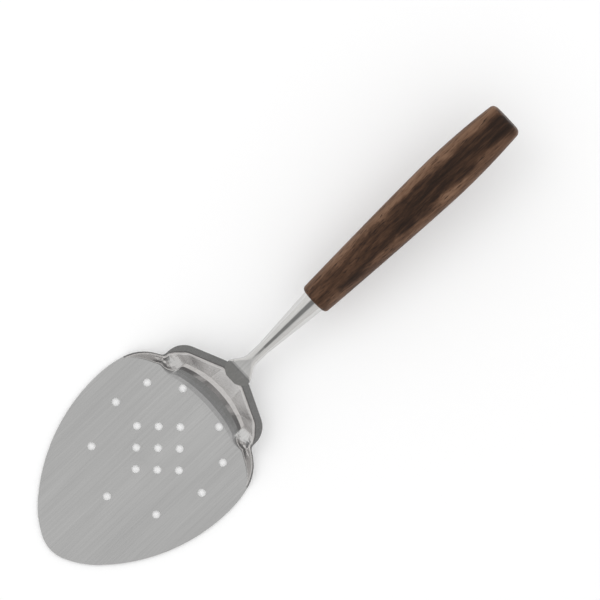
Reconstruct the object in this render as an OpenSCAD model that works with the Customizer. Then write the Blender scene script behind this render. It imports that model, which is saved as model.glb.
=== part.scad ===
// Fish spatula: a blade of pressed sheet steel, a shank rolled from sheet steel
// and a walnut handle that is pinned on the shank.
// X runs along the tool towards the handle, and the blade lies on Z = 0.
// The origin is the middle of the bare patch of blade between two drain holes.
// Headings are angles in the plane of a path, with 0 towards the handle.

/* [Blade outline] */
// Distance from the origin to the tip
tip_ahead = 49.7; // [46:0.1:56]
// Distance from the tip back to the widest station
nose_len = 78.2; // [74:0.1:84]
// Width at the widest station
blade_w = 96.6; // [90:0.1:104]
// Radius of the tip
nose_r = 18; // [15:0.1:21]
// Angle through which the tip's arc turns on each side
nose_turn = 24.6; // [20:0.1:28]
// Radius of the flank between the tip and the long side
flank_r = 48.5; // [42:0.1:55]
// Radius of the outline behind the widest station
rear_r = 61; // [54:0.1:70]
// Angle through which that arc turns
rear_turn = 15.6; // [13:0.1:18]
// Radius of the shoulder
shoulder_r = 22.7; // [20:0.1:26]
// Angle through which the shoulder turns
shoulder_turn = 42.2; // [38:0.1:46]
// Straight length between the shoulder and the notch
shoulder_run = 3; // [1.5:0.1:4.5]
// Radius of the notch
notch_r = 3.1; // [2.4:0.1:4]
// Straight length between the notch and the ear
ear_run = 1.2; // [0.6:0.1:2.4]
// Radius of the ear
ear_r = 11.9; // [10.5:0.1:13.5]
// Angle through which the ear turns
ear_turn = 66; // [62:0.5:69]
// Width of the blade's rear tab under the tongue
tab_w = 16.8; // [16:0.1:20]

/* [Blade pressing] */
// Thickness of the blade's sheet
blade_t = 1.2; // [0.8:0.1:1.6]
// Rise of the ledge's plane towards the handle
seat_angle = 22; // [18:0.5:26]
// Width of the ledge round the ears
ledge_w = 4.2; // [3.4:0.1:5]
// Width of the rounded lip along the shoulders
lip_w = 0.9; // [0.6:0.1:1.2]
// Width of the pressed strip where it starts on the shoulder
strip_start_w = 1.2; // [0.8:0.1:1.6]
// Width of the pressed strip where it reaches the notch
strip_end_w = 5.3; // [4.6:0.1:6]
// Width of the bend at the foot of the shoulder strip
strip_bend_w = 0.9; // [0.6:0.1:1.4]
// Rounding of the crest between the wall and the ledge
crest_w = 1; // [0.5:0.1:1.6]
// Distance from the origin back to the dished bend on the axis
dish_back = 56.4; // [55.6:0.1:58]
// Plan radius of the dished bend's front edge
dish_r = 114; // [95:1:140]
// Distance from the dished bend's front edge to the wall on the axis
dish_w = 14.1; // [12:0.1:15]
// Plan radius of the wall's foot
foot_r = 50; // [44:1:60]
// Angle of the wall's foot on each side of the axis
foot_turn = 25; // [22:0.5:27]
// Plan radius of the corner between the wall's foot and a lobe
corner_r = 2; // [1.5:0.1:3]
// Straight length between that corner and the lobe
lobe_run = 1.4; // [0.6:0.1:2.2]
// Plan radius of a lobe
lobe_r = 6.2; // [5.4:0.1:7]
// Height by which a lobe's wall bulges
lobe_bulge = 1.3; // [0.4:0.1:1.6]

/* [Drain holes] */
// Diameter of a drain hole
hole_d = 4.2; // [3:0.1:5]
// Distance from the origin back to the middle of the pattern
pattern_back = 25.7; // [24:0.1:27]
// Pitch of the three by three grid
hole_pitch = 11.05; // [9.5:0.05:12]
// Distance from the pattern's middle to the front hole of the ring
ring_front = 35.8; // [34:0.1:38]
// Distance from the pattern's middle to the ring's four diagonal holes
ring_diagonal = 33.9; // [32:0.1:36]
// Distance from the pattern's middle to the ring's side holes
ring_side = 31.9; // [30:0.1:34]
// Distance from the pattern's middle to the ring's two rear holes
ring_rear = 32.9; // [30:0.1:33.5]

/* [Shank] */
// Thickness of the shank's sheet
shank_t = 0.9; // [0.7:0.1:1.2]
// Rise of the shank and the handle towards the rear
shank_angle = 6; // [3:0.5:9]
// Rise of the throat just behind the fold
throat_angle = 1; // [0:0.5:5]
// Width of the tongue
tongue_w = 15.6; // [14:0.1:15.8]
// Radius of the tongue's front
tongue_r = 8.8; // [8.2:0.1:10]
// Width of the tongue's straight front edge
tongue_front_w = 5.8; // [4:0.1:8]
// Length of the parallel stretch between the tongue's round front and its fold
tongue_run = 1.2; // [0.8:0.1:2]
// Distance from the blade's rear edge to the fold
fold_gap = 0.3; // [0.1:0.1:0.8]
// Radius of the fold on the underside
fold_r = 6.5; // [5:0.5:12]
// Length of the throat, from the fold to the round neck
throat_len = 10; // [8:0.5:13]
// Length over which the throat's sides close under the neck
closing_len = 16; // [14:0.5:20]
// Inner radius of the bends beside the throat
throat_bend_r = 0.35; // [0.2:0.05:0.6]
// Depth of the throat's sides below their bends
throat_side = 2; // [1.4:0.1:2.6]
// Inner diameter of the neck
neck_bore = 5; // [4.4:0.1:6]
// Length of the tapering socket
socket_len = 34.5; // [30:0.5:40]
// Inner diameter of the socket's mouth
mouth_bore = 11.2; // [10.4:0.1:12]
// Width of the seam along the underside
seam_w = 0.4; // [0.2:0.1:0.8]
// Depth of the tiny step where the formed front enters the socket's wall
neck_step = 0.08; // [0.06:0.01:0.1]

/* [Handle] */
// Length of the handle behind the socket's mouth
handle_len = 135.4; // [110:0.1:150]
// Diameter of the handle at its front
front_d = 17; // [16.8:0.1:19]
// Width of the handle at its widest station
grip_w = 24.1; // [21:0.1:27]
// Thickness of the handle at its widest station
grip_h = 18; // [17.2:0.1:21]
// Width of the handle at its rear
rear_w = 19.6; // [17:0.1:21]
// Thickness of the handle at its rear
rear_h = 14.6; // [12:0.1:16]
// Distance from the handle's front to its widest station
widest_back = 92; // [75:1:100]
// Squareness of the section at the rear, where 2 is an ellipse
rear_squareness = 3; // [2:0.1:3.5]
// Rounding of the front edge
front_round = 2; // [1.5:0.1:2.2]
// Rounding of the rear edge
rear_round = 2.6; // [1:0.1:3.5]
// Length of the spigot inside the socket
spigot_len = 22; // [16:0.5:26]
// Glue gap between the spigot and the socket
glue_gap = 0.05; // [0.03:0.01:0.1]

/* [Handle pin] */
// Diameter of the pin
pin_d = 2.5; // [2:0.1:3]
// Distance from the socket's mouth forward to the pin
pin_ahead = 9; // [6:0.5:12]
// Clearance round the pin
pin_gap = 0.03; // [0.01:0.01:0.06]

/* [Hidden] */

steel = [0.72, 0.72, 0.71];
bright_steel = [0.85, 0.85, 0.83];
walnut = [0.33, 0.2, 0.14];

// Angles of the ring's side holes, from the handle's direction
ring_angles = [180, 135, 89, 56, 24.2];

// Steps along the blade's paths and across its pressing
nose_steps = 8;
flank_steps = 10;
side_steps = 12;
rear_steps = 6;
shoulder_steps = 9;
shoulder_run_steps = 2;
notch_steps = 6;
ear_run_steps = 1;
ear_steps = 10;
tab_side_steps = 6;
tab_end_steps = 4;
bend_steps = 6;
wall_steps = 4;
crest_steps = 3;
ledge_steps = 1;

// Steps along and round the shank's formed front
tongue_steps = 6;
fold_steps = 3;
throat_steps = 14;
neck_steps = 4;
flat_steps = 3;
turn_steps = 12;
side_edge_steps = 3;

// Steps along and round the handle
handle_steps = 18;
round_steps = 4;
ring_steps = 44;

// A cut reaches this far past what it cuts
cut = 1;

function mix(a, b, t) = a + (b - a) * t;
function unit(v) = v / norm(v);
function smooth(t) = let (c = min(1, max(0, t))) c * c * (3 - 2 * c);
function last(list) = list[len(list) - 1];
function flat_list(lists) = [for (list = lists) each list];
function reversed(list) = [for (i = [len(list) - 1:-1:0]) list[i]];
function mirrored(p) = len(p) == 2 ? [p.x, -p.y] : [p.x, -p.y, p.z];

// A step on a path is [point, heading]. An arc turns right when turn is
// positive, and each function leaves out the step that it starts from.
function right_of(heading) = [sin(heading), -cos(heading)];
function ahead_of(heading) = [cos(heading), sin(heading)];
function arc(start, r, turn, n) =
    let (p = start[0], h = start[1], side = turn < 0 ? -r : r, centre = p + side * right_of(h))
    [for (i = [1:n]) let (g = h - turn * i / n) [centre - side * right_of(g), g]];
function run(start, length, n) =
    [for (i = [1:n]) [start[0] + length * i / n * ahead_of(start[1]), start[1]]];
function points_of(steps) = [for (s = steps) s[0]];

// The front of the outline: tip, flank, and a side arc that meets the flank
// and is level at the widest station
half_w = blade_w / 2;
widest_x = nose_len - tip_ahead;
tip = [[-tip_ahead, 0], 90];
nose = arc(tip, nose_r, nose_turn, nose_steps);
flank_start = last(nose);
flank_centre = flank_start[0] + flank_r * right_of(flank_start[1]);
flank_to_side = [widest_x, half_w] - flank_centre;
side_r = (flank_to_side * flank_to_side - flank_r * flank_r) / (2 * (flank_to_side.y - flank_r));
side_centre = [widest_x, half_w - side_r];
side_from_flank = flank_centre - side_centre;
side_heading = atan2(-side_from_flank.x, side_from_flank.y);
flank = arc(flank_start, flank_r, flank_start[1] - side_heading, flank_steps);
side = arc(last(flank), side_r, side_heading, side_steps);

// The rear of the outline, from the widest station to the axis
rear = arc([[widest_x, half_w], 0], rear_r, rear_turn, rear_steps);
root = last(rear);
shoulder = arc(root, shoulder_r, shoulder_turn, shoulder_steps);
shoulder_line = run(last(shoulder), shoulder_run, shoulder_run_steps);
notch = arc(last(shoulder_line), notch_r, -(rear_turn + shoulder_turn), notch_steps);
ear_line = run(last(notch), ear_run, ear_run_steps);
ear = arc(last(ear_line), ear_r, ear_turn, ear_steps);
tab_side_len = (last(ear)[0].y - tab_w / 2) / sin(ear_turn);
tab_side = run(last(ear), tab_side_len, tab_side_steps);
tab_x = last(tab_side)[0].x;
tab_end = run([[tab_x, tab_w / 2], -90], tab_w / 2, tab_end_steps);
rim = concat([root], shoulder, shoulder_line, notch, ear_line, ear, tab_side, tab_end);

// Stations along the rim where its parts end
notch_at = shoulder_steps + shoulder_run_steps;
ear_line_at = notch_at + notch_steps;
ear_at = ear_line_at + ear_run_steps;
tab_side_at = ear_at + ear_steps;
tab_end_at = tab_side_at + tab_side_steps;
axis_at = tab_end_at + tab_end_steps;

// Every rim and crest point lies on one plane, which rises from the flat's
// plane at the root of the pressing
function rim_rise(x) = max(0, x - root[0].x) * tan(seat_angle);

// Width of the ledge, of the strip and of the strip's bend at a station
function ledge_at(i) =
    i <= notch_at ? min(lip_w, strip_at(i) * 0.35)
    : mix(lip_w, ledge_w, sin(90 * min(1, max(0, (i - ear_line_at) / (ear_steps * 0.7)))));
function strip_at(i) = mix(strip_start_w, strip_end_w, sin(90 * i / notch_at));
function strip_bend_at(i) = min(strip_bend_w, strip_at(i) * 0.25);

// The crest lies a ledge's width inside the rim. Across the tab it runs
// straight to the axis.
crest_on_side = [for (i = [0:tab_end_at]) rim[i][0] + ledge_at(i) * right_of(rim[i][1])];
crest_on_axis = [tab_x - ledge_w + 0.3, 0];
crest = concat(crest_on_side,
    [for (i = [1:tab_end_steps]) mix(last(crest_on_side), crest_on_axis, i / tab_end_steps)]);

// The wall's foot, traced from the axis outwards: the wall, its corner and the
// lobe. It is then turned round to run with the rim.
foot_axis = [[dish_back + dish_w, 0], 90];
foot_angles = [foot_turn * 0.36, foot_turn * 0.4, foot_turn * 0.24];
foot_a = arc(foot_axis, foot_r, -foot_angles[0], tab_end_steps);
foot_b = arc(last(foot_a), foot_r, -foot_angles[1], tab_side_steps);
foot_c = arc(last(foot_b), foot_r, -foot_angles[2], ear_steps - 5);
foot_corner = arc(last(foot_c), corner_r, -(90 - foot_turn), 4);
foot_line = run(last(foot_corner), lobe_run, 2);
foot_lobe = arc(last(foot_line), lobe_r, 105, notch_steps - 1);
foot_from_axis = points_of(concat([foot_axis], foot_a, foot_b, foot_c, foot_corner, foot_line, foot_lobe));
foot_on_strip = [for (i = [0:notch_at])
    rim[i][0] + (strip_at(i) - strip_bend_at(i)) * right_of(rim[i][1])];
foot = concat(foot_on_strip, reversed(foot_from_axis));

// The front edge of the bend: along the strip, then a shallow arc across
bend_on_strip = [for (i = [0:notch_at]) rim[i][0] + strip_at(i) * right_of(rim[i][1])];
function dish_point(y) = [dish_back - dish_r + sqrt(dish_r * dish_r - y * y), y];
bend_meets = last(bend_on_strip);
bend_offset = bend_meets - dish_point(bend_meets.y);
function bend_y(i) =
    i <= ear_line_at ? mix(bend_meets.y, foot[ear_line_at].y - 0.6, (i - notch_at) / notch_steps)
    : i <= tab_side_at ? mix(foot[ear_line_at].y - 0.6, foot[tab_side_at].y, (i - ear_line_at) / (ear_steps + 1))
    : foot[i].y;
bend = concat(bend_on_strip, [for (i = [notch_at + 1:axis_at])
    dish_point(bend_y(i)) + bend_offset * (1 - smooth((i - notch_at) / notch_steps))]);

// Share of the lobe's bulge at a station: all of it in the notch's middle
function bulge_at(i) =
    let (d = (i - notch_at - notch_steps / 2) / (notch_steps / 2 + 3))
    lobe_bulge * pow(max(0, 1 - d * d), 2);

// One line across the pressing, from the flat to the rim, on the sheet's top.
// The bend is a cubic, the wall is straight or bulges in a lobe, and the crest
// is a blend.
function across(i) =
    let (
        f = bend[i], b = foot[i], c = crest[i], o = rim[i][0],
        bend_len = norm(b - f),
        wall_len = norm(c - b),
        slope = rim_rise(c.x) / (wall_len + bend_len / 3),
        before = min(crest_w, wall_len * 0.3) / wall_len,
        after = min(crest_w, norm(o - c) * 0.4) / norm(o - c),
        foot_top = [b.x, b.y, slope * bend_len / 3],
        crest_top = [c.x, c.y, rim_rise(c.x)],
        rim_top = [o.x, o.y, rim_rise(o.x)],
        wall_end = mix(crest_top, foot_top, before),
        ledge_start = mix(crest_top, rim_top, after)
    )
    concat(
        [for (j = [0:bend_steps]) let (t = j / bend_steps, p = mix(f, b, t))
            [p.x, p.y, slope * bend_len * t * t * t / 3]],
        [for (j = [1:wall_steps])
            mix(foot_top, wall_end, j / wall_steps) + [0, 0, bulge_at(i) * sin(180 * j / wall_steps)]],
        [for (j = [1:crest_steps]) let (t = j / crest_steps)
            mix(mix(wall_end, crest_top, t), mix(crest_top, ledge_start, t), t)],
        [for (j = [1:ledge_steps]) mix(ledge_start, rim_top, j / ledge_steps)]
    );

// Steepness of a grid of points, as the plumb depth of a sheet of unit
// thickness. It is 1 on the edges that join the flat.
function plumb_depth(grid, i, k) =
    let (
        ni = len(grid) - 1,
        nk = len(grid[0]) - 1,
        along = grid[min(i + 1, ni)][k] - grid[max(i - 1, 0)][k],
        over = grid[i][min(k + 1, nk)] - grid[i][max(k - 1, 0)],
        n = unit(cross(along, over))
    )
    k == 0 || i == 0 || i == ni ? 1 : 1 / max(0.5, abs(n.z));

half_lines = [for (i = [0:axis_at]) across(i)];
pressing_lines = concat(half_lines,
    [for (i = [axis_at - 1:-1:0]) [for (p = half_lines[i]) mirrored(p)]]);
pressing_top = [for (line = pressing_lines) [for (p = line) p + [0, 0, blade_t]]];
pressing_under = [for (i = [0:len(pressing_top) - 1]) [for (k = [0:len(pressing_top[0]) - 1])
    let (p = pressing_top[i][k]) [p.x, p.y, max(0, p.z - blade_t * plumb_depth(pressing_top, i, k))]]];

// The outline in front of the pressing, from the tip to just short of the root
front_outline = points_of(concat([tip], nose, flank, side, [for (i = [0:rear_steps - 2]) rear[i]]));

// Drain holes: a grid turned by 45 degrees and a ring round it
ring_reach = [ring_front, ring_diagonal, ring_side, ring_diagonal, ring_rear];
grid_holes = [for (i = [-1:1], j = [-1:1]) hole_pitch * [i - j, i + j] / sqrt(2)];
ring_holes = [for (k = [0:len(ring_angles) - 1], s = k == 0 ? [1] : [1, -1])
    ring_reach[k] * [cos(ring_angles[k]), s * sin(ring_angles[k])]];

// The blade's sheet as one closed solid: a flat bounded by the front outline and
// by the first line of the pressing, and the pressing's own grid
module pressed_sheet(front, top, under) {
    m = len(front);
    ni = len(top);
    nk = len(top[0]);
    n = ni * nk;
    mirrored_front = [for (i = [m - 1:-1:1]) mirrored(front[i])];
    outline = concat(front, mirrored_front);
    o = len(outline);
    function raised(points, z) = [for (p = points) [p.x, p.y, z]];
    function quad(a, b, c, d) = [[a, b, c], [a, c, d]];
    // Points: the pressing above, the pressing below, the outline above and below
    up = 2 * n;
    low = 2 * n + o;
    grid_edge = concat([for (k = [nk - 1:-1:0]) k], [for (i = [1:ni - 1]) i * nk],
        [for (k = [1:nk - 1]) (ni - 1) * nk + k]);
    flat_top = concat([for (i = [0:m - 1]) up + i], grid_edge, [for (i = [m:o - 1]) up + i]);
    flat_under = concat([for (i = [0:m - 1]) low + i], [for (e = grid_edge) n + e],
        [for (i = [m:o - 1]) low + i]);
    edge_top = concat([ni * nk - 1], [for (i = [m:o - 1]) up + i], [for (i = [0:m - 1]) up + i], [nk - 1]);
    edge_under = concat([n + ni * nk - 1], [for (i = [m:o - 1]) low + i], [for (i = [0:m - 1]) low + i],
        [n + nk - 1]);
    polyhedron(
        concat(flat_list(top), flat_list(under), raised(outline, blade_t), raised(outline, 0)),
        concat(
            [flat_top, reversed(flat_under)],
            flat_list([for (i = [0:ni - 2], k = [0:nk - 2]) let (a = i * nk + k)
                concat(quad(a, a + 1, a + nk + 1, a + nk),
                    quad(n + a, n + a + nk, n + a + nk + 1, n + a + 1))]),
            flat_list([for (i = [0:ni - 2]) let (b = i * nk + nk - 1) quad(b, n + b, n + b + nk, b + nk)]),
            flat_list([for (i = [0:len(edge_top) - 2])
                quad(edge_top[i + 1], edge_top[i], edge_under[i], edge_under[i + 1])])
        )
    );
}

// Sheet between two grids of points, the first of them outside
module sheet(outside, inside) {
    ni = len(outside);
    nk = len(outside[0]);
    n = ni * nk;
    function quad(a, b, c, d) = [[a, b, c], [a, c, d]];
    polyhedron(concat(flat_list(outside), flat_list(inside)), concat(
        flat_list([for (i = [0:ni - 2], k = [0:nk - 2]) let (a = i * nk + k)
            concat(quad(a, a + 1, a + nk + 1, a + nk),
                quad(n + a, n + a + nk, n + a + nk + 1, n + a + 1))]),
        flat_list([for (i = [0:ni - 2]) let (a = i * nk, b = a + nk - 1)
            concat(quad(a, a + nk, n + a + nk, n + a), quad(b, n + b, n + b + nk, b + nk))]),
        flat_list([for (k = [0:nk - 2]) let (a = k, b = (ni - 1) * nk + k)
            concat(quad(a, n + a, n + a + 1, a + 1), quad(b, b + 1, n + b + 1, n + b))])
    ));
}

// The shank's top line on its underside, in the XZ plane: along the ledge,
// over the fold, along the throat and into the line of the neck
fold_x = tab_x + fold_gap;
fold_start = [[fold_x, blade_t + rim_rise(fold_x)], seat_angle];
fold = arc(fold_start, fold_r, seat_angle - throat_angle, fold_steps);
fold_len = fold_r * (seat_angle - throat_angle) * PI / 180;
throat_blend_len = closing_len - fold_len;
throat_turn_r = throat_blend_len * 180 / PI / max(0.1, abs(throat_angle - shank_angle));
throat = abs(throat_angle - shank_angle) < 0.1
    ? run(last(fold), throat_blend_len, throat_steps)
    : arc(last(fold), throat_turn_r, throat_angle - shank_angle, throat_steps);
neck_len = neck_bore / 2;
neck_lap = 0.4;
neck = run([last(throat)[0], shank_angle], neck_len + neck_lap, neck_steps);

// Distance of each of those stations behind the start of the fold
function spread(from, to, n) = [for (i = [1:n]) mix(from, to, i / n)];
formed_line = concat([fold_start], fold, throat, neck);
formed_at = concat([0], spread(0, fold_len, fold_steps), spread(fold_len, closing_len, throat_steps),
    spread(closing_len, closing_len + neck_len + neck_lap, neck_steps));

// The tongue's stations in front of the fold, with its half width at each
tongue_half = tongue_w / 2;
front_angle = asin(tongue_front_w / 2 / tongue_r);
widest_angle = asin(tongue_half / tongue_r);
tongue_angles = [for (i = [0:tongue_steps]) mix(front_angle, widest_angle, i / tongue_steps)];
tongue_at = [for (a = tongue_angles) tongue_r * (cos(widest_angle) - cos(a)) - tongue_run];
tongue_line = [for (s = tongue_at) [fold_start[0] + s * ahead_of(seat_angle), seat_angle]];

// Shape of the section s behind the fold: the half width that is seen from
// above, the bend's inner radius and angle, and the depth of its side
neck_r = neck_bore / 2;
formed_r = neck_r + neck_step;
side_turn_len = throat_len * 0.5;
function sheet_at(s) = shank_t - 2 * neck_step * smooth(s / closing_len);
function seen_half(s) = mix(tongue_half, formed_r + sheet_at(s), smooth(s / (throat_len * 0.92)));
function bend_r_at(s) = mix(throat_bend_r, formed_r, pow(min(1, max(0, s) / throat_len), 2.2));
seam_angle = asin((seam_w / 2 + neck_step) / formed_r);
function bend_angle_at(s) =
    90 * smooth(s / side_turn_len)
    + (90 - seam_angle) * smooth((s - throat_len * 0.8) / (closing_len - throat_len * 0.8));
function side_at(s) =
    throat_side * smooth((s - 1) / side_turn_len)
    * (1 - smooth((s - throat_len * 0.7) / (closing_len - throat_len * 0.7)));
function flat_at(s) =
    let (angle = bend_angle_at(s))
    max(0, seen_half(s) - (bend_r_at(s) + sheet_at(s)) * sin(min(90, angle))
        - side_at(s) * max(0, cos(angle)));

// Point and outward direction at a distance w round the section from its
// middle, as [across, down]
function section_point(w, a, r, angle) =
    let (turn = max(0, min(angle, (w - a) / r * 180 / PI)), past = max(0, w - a - r * angle * PI / 180))
    w <= a ? [[w, 0], [0, -1]]
    : [[a + r * sin(turn) + past * cos(turn), r * (1 - cos(turn)) + past * sin(turn)],
        [sin(turn), -cos(turn)]];

// The distances w at which a section is drawn: more of them round its bend
function section_stops(a, r, angle, half) =
    let (
        w1 = min(max(a, 0.16 * half), 0.7 * half),
        w2 = max(w1 + 0.15 * half, min(a + r * angle * PI / 180, 0.84 * half))
    )
    concat([0], spread(0, w1, flat_steps), spread(w1, w2, turn_steps), spread(w2, half, side_edge_steps));

// One section of the shank's front at a station of its top line
function section_line(step, s, outer) =
    let (
        p = step[0],
        h = step[1],
        down = right_of(h),
        in_front = s < 0,
        a = in_front ? 0 : flat_at(s),
        r = bend_r_at(s),
        angle = in_front ? 0 : bend_angle_at(s),
        half = in_front ? 0 : a + r * angle * PI / 180 + side_at(s)
    )
    [for (w = section_stops(a, r, angle, half)) let (
        q = section_point(w, a, r, angle),
        v = q[0] + (outer ? sheet_at(s) : 0) * q[1])
        [p.x + v.y * down.x, v.x, p.y + v.y * down.y]];

// One line across the flat tongue
function tongue_section(step, half, outer) =
    let (p = step[0] - (outer ? shank_t : 0) * right_of(step[1]))
    [for (w = section_stops(half, 1, 0, half)) [p.x, w, p.y]];

function both_sides(line) = concat([for (i = [len(line) - 1:-1:1]) mirrored(line[i])], line);
function shank_lines(outer) = concat(
    [for (i = [0:tongue_steps]) both_sides(tongue_section(tongue_line[i], tongue_r * sin(tongue_angles[i]), outer))],
    [for (i = [0:len(formed_line) - 1]) both_sides(section_line(formed_line[i], formed_at[i], outer))]
);

// The socket is a true cone along the shank's own axis, which the handle shares
neck_end = last(throat)[0] + neck_len * ahead_of(shank_angle) + formed_r * right_of(shank_angle);
mouth_r = mouth_bore / 2;
function bore_r(z) = mix(neck_r, mouth_r, z / socket_len);

// Along the shank's axis: local Z runs to the handle and local X points down
module along_shank() {
    translate([neck_end.x, 0, neck_end.y]) rotate([0, 90 - shank_angle, 0]) children();
}

module socket_cone(extra) {
    cylinder(h = socket_len, r1 = neck_r + extra, r2 = mouth_r + extra, $fn = 72);
}

pin_z = socket_len - pin_ahead;
module cross_pin(gap, length) {
    translate([0, 0, pin_z]) rotate([90, 0, 0])
        cylinder(h = length, d = pin_d + 2 * gap, center = true, $fn = 32);
}

module blade() {
    color(steel) difference() {
        pressed_sheet(front_outline, pressing_top, pressing_under);
        translate([pattern_back, 0, -cut]) for (p = concat(grid_holes, ring_holes))
            translate(p) cylinder(h = blade_t + 2 * cut, d = hole_d, $fn = 40);
    }
}

module shank() {
    color(bright_steel) union() {
        sheet(shank_lines(true), shank_lines(false));
        along_shank() difference() {
            socket_cone(shank_t);
            translate([0, 0, -cut]) cylinder(h = socket_len + 2 * cut, r1 = bore_r(-cut),
                r2 = bore_r(socket_len + cut), $fn = 72);
            translate([0, -seam_w / 2, -cut])
                cube([mouth_r + shank_t + cut, seam_w, socket_len + 2 * cut]);
            cross_pin(pin_gap, 2 * (mouth_r + shank_t + cut));
        }
    }
}

// Half width and half height of the handle z behind its front, before its
// edges are rounded, and the squareness of its section there
function grip_size(z) =
    z < widest_back
    ? let (t = pow(1 - z / widest_back, 1.3)) mix([grip_w, grip_h] / 2, [front_d, front_d] / 2, t)
    : let (t = pow((z - widest_back) / (handle_len - widest_back), 2)) mix([grip_w, grip_h], [rear_w, rear_h], t) / 2;
function squareness(z) = mix(2, rear_squareness, smooth(z / widest_back));
function round_in(r, depth) = depth >= r ? 0 : r - sqrt(r * r - pow(r - depth, 2));
function signed_pow(v, e) = sign(v) * pow(abs(v), e);

// Stations along the handle, closer together over its rounded ends
handle_stops = concat(
    [for (i = [0:round_steps - 1]) front_round * (1 - cos(90 * i / round_steps))],
    [for (i = [0:handle_steps]) mix(front_round, handle_len - rear_round, i / handle_steps)],
    [for (i = [1:round_steps]) handle_len - rear_round * (1 - sin(90 * i / round_steps))]
);
function handle_ring(z) =
    let (
        inset = round_in(front_round, z) + round_in(rear_round, handle_len - z),
        size = grip_size(z) - [inset, inset],
        e = 2 / squareness(z)
    )
    [for (k = [0:ring_steps - 1]) let (a = 360 * k / ring_steps)
        [size[1] * signed_pow(sin(a), e), size[0] * signed_pow(cos(a), e), z]];

module grip() {
    rings = [for (z = handle_stops) handle_ring(z)];
    n = ring_steps;
    m = len(rings);
    polyhedron(concat(flat_list(rings), [[0, 0, 0], [0, 0, handle_len]]), concat(
        flat_list([for (i = [0:m - 2], k = [0:n - 1]) let (a = i * n + k, b = i * n + (k + 1) % n)
            [[a, b, b + n], [a, b + n, a + n]]]),
        [for (k = [0:n - 1]) [m * n, (k + 1) % n, k]],
        [for (k = [0:n - 1]) [m * n + 1, (m - 1) * n + k, (m - 1) * n + (k + 1) % n]]
    ));
}

module handle() {
    spigot_z = socket_len - spigot_len;
    color(walnut) along_shank() difference() {
        union() {
            translate([0, 0, socket_len]) grip();
            translate([0, 0, spigot_z]) cylinder(h = spigot_len, r1 = bore_r(spigot_z) - glue_gap,
                r2 = mouth_r - glue_gap, $fn = 72);
        }
        cross_pin(pin_gap, 2 * mouth_r);
    }
}

// The pin is dressed flush with the outside of the socket
module handle_pin() {
    color(bright_steel) along_shank() intersection() {
        cross_pin(0, 2 * (mouth_r + shank_t));
        socket_cone(shank_t);
    }
}

blade();
shank();
handle();
handle_pin();
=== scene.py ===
import math

import bpy
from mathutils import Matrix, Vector


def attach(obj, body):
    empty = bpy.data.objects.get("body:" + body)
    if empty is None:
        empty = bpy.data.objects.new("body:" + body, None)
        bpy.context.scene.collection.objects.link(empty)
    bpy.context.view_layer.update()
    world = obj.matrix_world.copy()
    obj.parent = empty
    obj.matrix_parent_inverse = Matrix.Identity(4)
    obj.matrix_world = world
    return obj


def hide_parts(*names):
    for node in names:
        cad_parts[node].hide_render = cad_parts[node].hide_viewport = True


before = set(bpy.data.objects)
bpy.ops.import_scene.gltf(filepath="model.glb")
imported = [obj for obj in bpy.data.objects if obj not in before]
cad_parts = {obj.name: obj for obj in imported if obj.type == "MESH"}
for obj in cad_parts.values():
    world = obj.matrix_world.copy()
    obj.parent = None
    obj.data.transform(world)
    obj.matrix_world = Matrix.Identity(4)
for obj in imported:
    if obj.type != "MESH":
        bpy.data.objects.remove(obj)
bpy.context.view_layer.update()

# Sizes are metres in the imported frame: X along the tool, Z up
MM = 0.001

# The photograph's framing: the tool's direction in the picture, the point of
# the blade plane behind the picture's middle, and the width that it spans
TOOL_TURN = 43.4
LOOK_AT = (130.2 * MM, 5.1 * MM)
PICTURE_WIDTH = 306 * MM
CAMERA_HEIGHT = 5.0
CAMERA_REACH = 20
SENSOR = 36.0

# The handle's frame and sizes, as in the part
SHANK_ANGLE = 6.0
HANDLE_LEN = 135.4 * MM
FRONT_D = 17 * MM
GRIP_W = 24.1 * MM
GRIP_H = 18 * MM
REAR_W = 19.6 * MM
REAR_H = 14.6 * MM
WIDEST_BACK = 92 * MM
FRONT_SWELL = 1.3
REAR_TAPER = 2
REAR_SQUARENESS = 3.0
FRONT_ROUND = 2 * MM
REAR_ROUND = 2.6 * MM

# How finely the handle is drawn
GRIP_AROUND = 144
GRIP_ALONG = 110
ROUND_STEPS = 10

# Edges sharper than these angles stay crisp, and those of the sheets are eased
BLADE_SHARP = 52
SHANK_SHARP = 34
GRIP_SHARP = 40
EASED_FROM = 50
BLADE_EASING = 0.2 * MM
SHANK_EASING = 0.1 * MM

# The floor lies a hair under the blade
FLOOR_HALF = 3.0
FLOOR_DROP = 0.05 * MM
FLOOR_WHITE = 0.97

# The lamp
KEY_PLACE = (0.1, 0.9, 1.3)
KEY_AIM = (0.13, 0, 0)
KEY_SIZE = 0.9
KEY_WATTS = 1.5


def mix(a, b, t):
    return a + (b - a) * t


def smooth(t):
    t = min(1.0, max(0.0, t))
    return t * t * (3 - 2 * t)


# Node helpers

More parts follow.
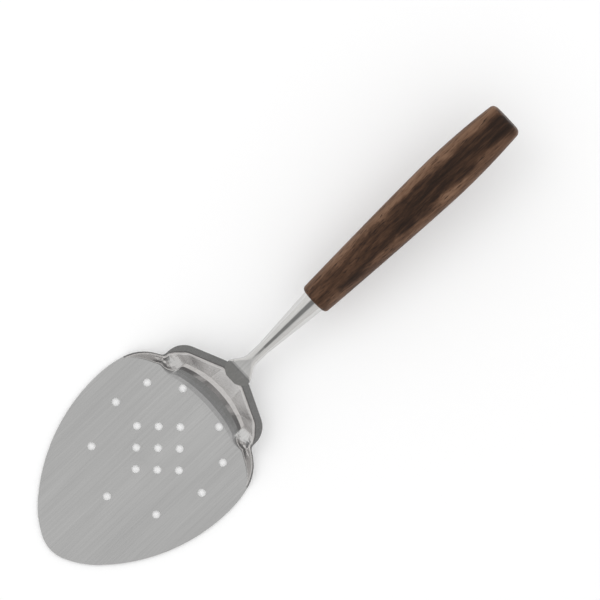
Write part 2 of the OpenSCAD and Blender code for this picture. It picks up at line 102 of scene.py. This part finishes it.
class Nodes:
    """Short ways to add and join shader nodes."""

    def __init__(self, tree):
        self.tree = tree
        self.tree.nodes.clear()

    def add(self, kind, **values):
        node = self.tree.nodes.new(kind)
        for key, value in values.items():
            setattr(node, key, value)
        return node

    def feed(self, socket, value):
        if isinstance(value, bpy.types.NodeSocket):
            self.tree.links.new(value, socket)
        else:
            socket.default_value = value

    def math(self, operation, a, b=0.0):
        node = self.add("ShaderNodeMath", operation=operation)
        for socket, value in zip(node.inputs, (a, b)):
            self.feed(socket, value)
        return node.outputs[0]

    def weighted(self, *parts):
        """The sum of each signal times its share."""
        total = None
        for signal, share in parts:
            part = self.math("MULTIPLY", signal, share)
            total = part if total is None else self.math("ADD", total, part)
        return total

    def window(self, value, low, high):
        """0 below low, 1 above high, smooth between."""
        node = self.add("ShaderNodeMapRange", interpolation_type="SMOOTHSTEP")
        self.feed(node.inputs["Value"], value)
        node.inputs["From Min"].default_value = low
        node.inputs["From Max"].default_value = high
        return node.outputs["Result"]

    def spread(self, noise, at_low, at_high):
        """A noise's usual range, stretched between two values."""
        node = self.add("ShaderNodeMapRange")
        self.feed(node.inputs["Value"], noise)
        node.inputs["From Min"].default_value = 0.3
        node.inputs["From Max"].default_value = 0.7
        node.inputs["To Min"].default_value = at_low
        node.inputs["To Max"].default_value = at_high
        return node.outputs["Result"]

    def blend(self, factor, a, b):
        node = self.add("ShaderNodeMix", data_type="RGBA")
        self.feed(node.inputs[0], factor)
        self.feed(node.inputs[6], a)
        self.feed(node.inputs[7], b)
        return node.outputs[2]

    def noise(self, vector, scale, detail, rough, distortion=0.0):
        node = self.add("ShaderNodeTexNoise")
        self.feed(node.inputs["Vector"], vector)
        node.inputs["Scale"].default_value = scale
        node.inputs["Detail"].default_value = detail
        node.inputs["Roughness"].default_value = rough
        node.inputs["Distortion"].default_value = distortion
        return node.outputs[0]

    def drawn_out(self, place, along, across, detail, rough, distortion=0.0):
        """A noise with its own scale along X, so that it runs in streaks."""
        node = self.add("ShaderNodeMapping")
        self.feed(node.inputs["Vector"], place)
        node.inputs["Scale"].default_value = (along, across, across)
        return self.noise(node.outputs[0], 1.0, detail, rough, distortion)

    def rolled(self, place, angle):
        """The place, turned about X."""
        node = self.add("ShaderNodeMapping")
        self.feed(node.inputs["Vector"], place)
        node.inputs["Rotation"].default_value = (math.radians(angle), 0, 0)
        return node.outputs[0]

    def split(self, vector):
        node = self.add("ShaderNodeSeparateXYZ")
        self.feed(node.inputs[0], vector)
        return node.outputs

    def ramp(self, factor, stops):
        node = self.add("ShaderNodeValToRGB")
        self.feed(node.inputs[0], factor)
        elements = node.color_ramp.elements
        while len(elements) < len(stops):
            elements.new(0.5)
        for element, (place, colour) in zip(elements, stops):
            element.position = place
            element.color = (*colour, 1)
        return node.outputs[0]

    def bump(self, height, strength, distance):
        node = self.add("ShaderNodeBump")
        self.feed(node.inputs["Height"], height)
        node.inputs["Strength"].default_value = strength
        node.inputs["Distance"].default_value = distance
        return node.outputs[0]

    def background(self, colour):
        node = self.add("ShaderNodeBackground")
        self.feed(node.inputs["Color"], colour)
        node.inputs["Strength"].default_value = 1.0
        return node.outputs[0]

    def choose(self, factor, otherwise, when):
        """One shader where the factor is 0, and the other where it is 1."""
        node = self.add("ShaderNodeMixShader")
        self.feed(node.inputs[0], factor)
        self.feed(node.inputs[1], otherwise)
        self.feed(node.inputs[2], when)
        return node.outputs[0]

    def finish(self, kind, shader):
        self.feed(self.add(kind).inputs[0], shader)


def new_material(name):
    material = bpy.data.materials.new(name)
    material.use_nodes = True
    return material, Nodes(material.node_tree)


# Materials

def steel(name, colour, rough, brush, brush_strength, anisotropic):
    """Sheet steel with fine brush lines along X and faint wear."""
    material, n = new_material(name)
    place = n.add("ShaderNodeTexCoord").outputs["Object"]
    lines = n.drawn_out(place, *brush, 3.0, 0.65)
    broad = n.drawn_out(place, 14, 60, 2.0, 0.5)
    streaks = n.drawn_out(place, 16, 900, 4.0, 0.6)
    smudges = n.noise(place, 38.0, 4.0, 0.55)
    dark = [c * 0.88 for c in colour]
    light = [min(1.0, c * 1.1) for c in colour]
    tone = n.weighted((lines, 0.2), (broad, 0.3), (streaks, 0.5))
    wear = n.weighted((lines, 0.5), (smudges, 0.5))
    tangent = n.add("ShaderNodeTangent", direction_type="RADIAL", axis="Z")
    shader = n.add("ShaderNodeBsdfPrincipled")
    shader.inputs["Metallic"].default_value = 1.0
    shader.inputs["Anisotropic"].default_value = anisotropic
    n.feed(shader.inputs["Base Color"], n.ramp(tone, [(0.3, dark), (0.7, light)]))
    n.feed(shader.inputs["Roughness"], n.spread(wear, *rough))
    n.feed(shader.inputs["Tangent"], tangent.outputs[0])
    n.feed(shader.inputs["Normal"], n.bump(lines, brush_strength, 0.02 * MM))
    n.finish("ShaderNodeOutputMaterial", shader.outputs[0])
    return material


HEARTWOOD = [
    (0.33, (0.013, 0.006, 0.003)),
    (0.44, (0.031, 0.014, 0.007)),
    (0.53, (0.060, 0.028, 0.014)),
    (0.66, (0.115, 0.058, 0.032)),
]
# Painted light: paler colours for the handle's flanks, standing in for side light
PAINTED_FLANK_LIGHT_WOOD = [
    (0.33, (0.046, 0.023, 0.013)),
    (0.44, (0.098, 0.049, 0.028)),
    (0.53, (0.150, 0.080, 0.046)),
    (0.66, (0.235, 0.134, 0.082)),
]
PORE = (0.02, 0.01, 0.006, 1)
RING_ROLL = 24
RING_PITCH = 95.0
RING_BEND = 2.6
# Where the painted flank light starts and ends, off the handle's middle, and how far
# its edge wanders
FLANK_FROM = 4.5 * MM
FLANK_TO = 8.5 * MM
FLANK_WANDER = 7 * MM


def walnut_wood():
    """Oiled walnut: rings, streaks and pores along X, with painted light that makes
    both flanks paler.
    """
    material, n = new_material("walnut")
    place = n.add("ShaderNodeTexCoord").outputs["Object"]
    # The rings are bands across the handle, bent by a slow noise
    slow = n.drawn_out(place, 7, 40, 2.0, 0.5)
    across = n.split(n.rolled(place, RING_ROLL))[1]
    bent = n.weighted((across, RING_PITCH), (slow, RING_BEND))
    rings = n.math("SINE", n.math("MULTIPLY", bent, 3.0))
    streaks = n.drawn_out(place, 22, 420, 5.0, 0.62, 0.2)
    fine = n.drawn_out(place, 120, 1900, 3.0, 0.6)
    mottle = n.drawn_out(place, 60, 170, 4.0, 0.6, 0.4)
    grain = n.weighted((rings, 0.07), (streaks, 0.5), (mottle, 0.28), (fine, 0.22))
    # Painted light: both flanks are painted paler, as if lit from the sides
    off_middle = n.math("ABSOLUTE", n.split(place)[1])
    wander = n.math("MULTIPLY", n.math("SUBTRACT", mottle, 0.5), FLANK_WANDER)
    reach = n.math("ADD", off_middle, wander)
    painted_flank_light = n.math("MULTIPLY", n.window(reach, FLANK_FROM, FLANK_TO), 0.8)
    body = n.blend(painted_flank_light, n.ramp(grain, HEARTWOOD), n.ramp(grain, PAINTED_FLANK_LIGHT_WOOD))
    pores = n.window(fine, 0.34, 0.42)
    relief = n.weighted((fine, 0.6), (streaks, 0.4))
    shader = n.add("ShaderNodeBsdfPrincipled")
    shader.inputs["Specular IOR Level"].default_value = 0.2
    shader.inputs["Coat Weight"].default_value = 0.01
    shader.inputs["Coat Roughness"].default_value = 0.4
    n.feed(shader.inputs["Base Color"], n.blend(pores, PORE, body))
    n.feed(shader.inputs["Roughness"], n.spread(streaks, 0.58, 0.44))
    n.feed(shader.inputs["Normal"], n.bump(relief, 0.35, 0.1 * MM))
    n.finish("ShaderNodeOutputMaterial", shader.outputs[0])
    return material


BLADE_STEEL = steel("blade_steel", colour=(0.635, 0.633, 0.63), rough=(0.2, 0.27),
                    brush=(30, 5200), brush_strength=0.12, anisotropic=0.25)
SHANK_STEEL = steel("shank_steel", colour=(0.66, 0.655, 0.645), rough=(0.08, 0.12),
                    brush=(60, 3000), brush_strength=0.02, anisotropic=0.0)
WALNUT = walnut_wood()


# Pieces

def finish_piece(piece, node_name, material, sharp):
    """Shade a piece smoothly and hand it over in place of its node."""
    mesh = piece.data
    mesh.materials.clear()
    mesh.materials.append(material)
    for polygon in mesh.polygons:
        polygon.use_smooth = True
        polygon.material_index = 0
    mesh.set_sharp_from_angle(angle=math.radians(sharp))
    bpy.context.scene.collection.objects.link(piece)
    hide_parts(node_name)
    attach(piece, "root")


def dress(node_name, piece_name, material, sharp, easing=0.0):
    """A smooth-shaded copy of a node's shape, with its sharp edges eased."""
    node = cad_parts[node_name]
    mesh = node.data.copy()
    mesh.name = piece_name
    piece = bpy.data.objects.new(piece_name, mesh)
    piece.matrix_world = node.matrix_world.copy()
    finish_piece(piece, node_name, material, sharp)
    if easing:
        eased = piece.modifiers.new("eased", "BEVEL")
        eased.width = easing
        eased.segments = 2
        eased.limit_method = "ANGLE"
        eased.angle_limit = math.radians(EASED_FROM)
        eased.harden_normals = True


def round_in(r, depth):
    """How far a rounded end of radius r has drawn in at this depth from it."""
    return 0.0 if depth >= r else r - math.sqrt(max(0.0, r * r - (r - depth) ** 2))


def grip_size(back):
    """Half width and half thickness of the handle, so far behind its front."""
    if back < WIDEST_BACK:
        t = (1 - back / WIDEST_BACK) ** FRONT_SWELL
        return mix(GRIP_W / 2, FRONT_D / 2, t), mix(GRIP_H / 2, FRONT_D / 2, t)
    t = ((back - WIDEST_BACK) / (HANDLE_LEN - WIDEST_BACK)) ** REAR_TAPER
    return mix(GRIP_W, REAR_W, t) / 2, mix(GRIP_H, REAR_H, t) / 2


def signed_pow(v, e):
    return math.copysign(abs(v) ** e, v)


def grip_stops():
    """Where the handle's rings of points lie, close together on its rounded ends."""
    quarter = [math.radians(90 * i / ROUND_STEPS) for i in range(ROUND_STEPS + 1)]
    stops = [FRONT_ROUND * (1 - math.cos(a)) for a in quarter[:-1]]
    stops += [mix(FRONT_ROUND, HANDLE_LEN - REAR_ROUND, i / GRIP_ALONG)
              for i in range(GRIP_ALONG + 1)]
    stops += [HANDLE_LEN - REAR_ROUND * (1 - math.sin(a)) for a in quarter[1:]]
    return stops


def make_handle():
    """The grip again with fine steps, so that its outline and shine are smooth."""
    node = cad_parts["handle"]
    rear_corner = max((node.matrix_world @ v.co for v in node.data.vertices),
                      key=lambda p: p.x)
    rise = math.radians(SHANK_ANGLE)
    along = Vector((math.cos(rise), 0, math.sin(rise)))
    down = Vector((math.sin(rise), 0, -math.cos(rise)))
    side = Vector((0, 1, 0))
    # The lowest point of the rear edge is the furthest back, half the flat
    # end's thickness below the axis
    _, half_rear = grip_size(HANDLE_LEN)
    rear = Vector((rear_corner.x, 0, rear_corner.z)) - down * (half_rear - REAR_ROUND)
    front = rear - along * HANDLE_LEN
    stops = grip_stops()
    verts, faces = [], []
    for back in stops:
        inset = round_in(FRONT_ROUND, back) + round_in(REAR_ROUND, HANDLE_LEN - back)
        half_w, half_h = grip_size(back)
        e = 2 / mix(2, REAR_SQUARENESS, smooth(back / WIDEST_BACK))
        for k in range(GRIP_AROUND):
            a = 2 * math.pi * k / GRIP_AROUND
            x = (half_h - inset) * signed_pow(math.sin(a), e)
            y = (half_w - inset) * signed_pow(math.cos(a), e)
            verts.append(front + along * back + side * y + down * x)
    for i in range(len(stops) - 1):
        for k in range(GRIP_AROUND):
            a, b = i * GRIP_AROUND + k, i * GRIP_AROUND + (k + 1) % GRIP_AROUND
            faces.append((a, a + GRIP_AROUND, b + GRIP_AROUND, b))
    for ring, back in ((0, 0.0), (len(stops) - 1, HANDLE_LEN)):
        verts.append(front + along * back)
        centre = len(verts) - 1
        for k in range(GRIP_AROUND):
            a, b = ring * GRIP_AROUND + k, ring * GRIP_AROUND + (k + 1) % GRIP_AROUND
            faces.append((centre, a, b) if ring == 0 else (centre, b, a))
    mesh = bpy.data.meshes.new("walnut_grip")
    mesh.from_pydata([tuple(v) for v in verts], [], faces)
    mesh.validate()
    piece = bpy.data.objects.new("walnut_grip", mesh)
    finish_piece(piece, "handle", WALNUT, GRIP_SHARP)


dress("blade", "pressed_blade", BLADE_STEEL, BLADE_SHARP, BLADE_EASING)
dress("shank", "rolled_shank", SHANK_STEEL, SHANK_SHARP, SHANK_EASING)
dress("handle_pin", "cross_pin", SHANK_STEEL, SHANK_SHARP)
make_handle()


# Floor

def make_floor():
    mesh = bpy.data.meshes.new("floor")
    corners = [(x * FLOOR_HALF, y * FLOOR_HALF, 0)
               for x, y in ((-1, -1), (1, -1), (1, 1), (-1, 1))]
    mesh.from_pydata(corners, [], [(0, 1, 2, 3)])
    floor = bpy.data.objects.new("floor", mesh)
    floor.location.z = -FLOOR_DROP
    bpy.context.scene.collection.objects.link(floor)
    material, n = new_material("floor")
    plain = n.add("ShaderNodeBsdfDiffuse")
    plain.inputs["Color"].default_value = (FLOOR_WHITE, FLOOR_WHITE, FLOOR_WHITE, 1)
    n.finish("ShaderNodeOutputMaterial", plain.outputs[0])
    mesh.materials.append(material)


make_floor()


# Studio

# What metal sees, by how far a direction leans from straight up, in hundreds
# of degrees: towards the tip, and in all other directions
LEAN_RANGE = 100.0
TIP_SIDE = [
    (0.0, (0.7, 0.7, 0.695)),
    (0.06, (0.62, 0.62, 0.62)),
    (0.13, (0.3, 0.3, 0.3)),
    (0.24, (0.26, 0.26, 0.26)),
    (0.44, (0.3, 0.3, 0.295)),
    (0.52, (0.12, 0.115, 0.115)),
    (0.62, (0.1, 0.095, 0.095)),
    (0.74, (0.86, 0.83, 0.81)),
    (1.0, (0.9, 0.87, 0.85)),
]
ELSEWHERE = [
    (0.0, (0.7, 0.7, 0.695)),
    (0.2, (0.72, 0.72, 0.715)),
    (0.5, (0.84, 0.835, 0.825)),
    (1.0, (0.84, 0.825, 0.81)),
]
LEFT_WALL = (0.98, 0.98, 0.97, 1)
WHITE = (1, 1, 1, 1)
TIP_SIDE_FULL = 34.0
TIP_SIDE_END = 56.0


def make_world():
    """Even white light for the floor, the wood and the camera. Metal sees a
    studio with a grey ceiling, light walls and a dark side towards the tip."""
    world = bpy.data.worlds.new("studio")
    world.use_nodes = True
    bpy.context.scene.world = world
    n = Nodes(world.node_tree)
    x, y, z = n.split(n.add("ShaderNodeTexCoord").outputs["Generated"])
    # How far the direction leans from straight up, and its angle off the tip's
    lean = n.math("MULTIPLY", n.math("ARCCOSINE", z), 180 / math.pi)
    turned = n.math("ARCTAN2", n.math("ABSOLUTE", y), n.math("MULTIPLY", x, -1.0))
    off_tip = n.math("MULTIPLY", turned, 180 / math.pi)
    share = n.math("DIVIDE", lean, LEAN_RANGE)
    left = n.math("MULTIPLY", n.window(y, 0.1, 0.5), 0.7)
    elsewhere = n.blend(left, n.ramp(share, ELSEWHERE), LEFT_WALL)
    to_tip = n.math("SUBTRACT", 1.0, n.window(off_tip, TIP_SIDE_FULL, TIP_SIDE_END))
    studio = n.background(n.blend(to_tip, elsewhere, n.ramp(share, TIP_SIDE)))
    path = n.add("ShaderNodeLightPath")
    lit = n.choose(path.outputs["Is Glossy Ray"], n.background(WHITE), studio)
    shown = n.choose(path.outputs["Is Camera Ray"], lit, n.background(WHITE))
    n.finish("ShaderNodeOutputWorld", shown)


def make_lamp():
    """A weak round lamp that metal doesn't mirror."""
    data = bpy.data.lights.new("key", "AREA")
    data.shape = "DISK"
    data.size = KEY_SIZE
    data.energy = KEY_WATTS
    lamp = bpy.data.objects.new("key", data)
    lamp.location = KEY_PLACE
    aim = Vector(KEY_AIM) - Vector(KEY_PLACE)
    lamp.rotation_euler = aim.to_track_quat("-Z", "Y").to_euler()
    lamp.visible_glossy = False
    bpy.context.scene.collection.objects.link(lamp)


def make_camera():
    """Straight above the tool, far enough away for hardly any perspective."""
    data = bpy.data.cameras.new("camera")
    data.sensor_width = SENSOR
    data.lens = SENSOR * CAMERA_HEIGHT / PICTURE_WIDTH
    data.clip_end = CAMERA_REACH
    camera = bpy.data.objects.new("camera", data)
    camera.location = (*LOOK_AT, CAMERA_HEIGHT)
    camera.rotation_euler = (0, 0, -math.radians(TOOL_TURN))
    bpy.context.scene.collection.objects.link(camera)
    bpy.context.scene.camera = camera


make_world()
make_lamp()
make_camera()
bpy.context.scene.view_settings.view_transform = "Standard"
